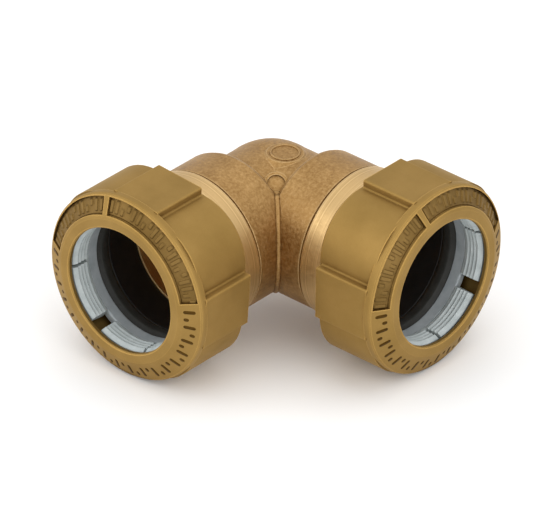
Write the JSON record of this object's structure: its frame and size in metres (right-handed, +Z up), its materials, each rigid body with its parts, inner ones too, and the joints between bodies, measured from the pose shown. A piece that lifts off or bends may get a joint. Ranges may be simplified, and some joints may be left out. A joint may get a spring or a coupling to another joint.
{
  "type": "push-fit pipe elbow",
  "caption": "Right-angle brass push-fit coupling for 32 mm plastic pipe, with flanged threaded nuts, slotted grip rings and rubber seals around a forged elbow.",
  "frame": {"origin": "bottom centre of the whole fitting's box, the surface it rests on", "axes": "+Z up; port B opens along +X and port A along -Y; both pipe axes are level and cross at a right angle"},
  "size_m": [0.08, 0.08, 0.0492],
  "materials": {
    "cast_brass": "blasted satin",
    "nut_brass": "satin",
    "grip_plastic": "semi-gloss",
    "seal_rubber": "matt",
    "sleeve_plastic": "matt"
  },
  "bodies": {
    "elbow": {"elbow_body": "cast_brass", "seal_a": "seal_rubber", "backing_sleeve_a": "sleeve_plastic", "seal_b": "seal_rubber", "backing_sleeve_b": "sleeve_plastic"},
    "thrust_a": {"thrust_ring_a": "grip_plastic"},
    "nut_a": {"nut_a": "nut_brass"},
    "grip_a": {"grip_ring_a": "grip_plastic"},
    "thrust_b": {"thrust_ring_b": "grip_plastic"},
    "nut_b": {"nut_b": "nut_brass"},
    "grip_b": {"grip_ring_b": "grip_plastic"}
  },
  "joints": [
    {"name": "nut_travel_a", "type": "slide", "parent": "elbow", "child": "thrust_a", "axis": [0, -1, 0], "range_m": [0, 0.00801]},
    {"name": "nut_turn_a", "type": "hinge", "parent": "thrust_a", "child": "nut_a", "pos_m": [-0.01545, -0.02955, 0.0246], "axis": [0, -1, 0], "range_deg": [0, 1440]},
    {"name": "grip_float_a", "type": "slide", "parent": "thrust_a", "child": "grip_a", "axis": [0, -1, 0], "range_m": [0, 0.0005]},
    {"name": "nut_travel_b", "type": "slide", "parent": "elbow", "child": "thrust_b", "axis": [1, 0, 0], "range_m": [0, 0.00801]},
    {"name": "nut_turn_b", "type": "hinge", "parent": "thrust_b", "child": "nut_b", "pos_m": [0.02955, 0.01545, 0.0246], "axis": [1, 0, 0], "range_deg": [0, 1440]},
    {"name": "grip_float_b", "type": "slide", "parent": "thrust_b", "child": "grip_b", "axis": [1, 0, 0], "range_m": [0, 0.0005]}
  ],
  "couplings": [
    {"joint": "nut_travel_a", "follows": "nut_turn_a", "m_per_rad": 0.00031831},
    {"joint": "nut_travel_b", "follows": "nut_turn_b", "m_per_rad": 0.00031831}
  ]
}
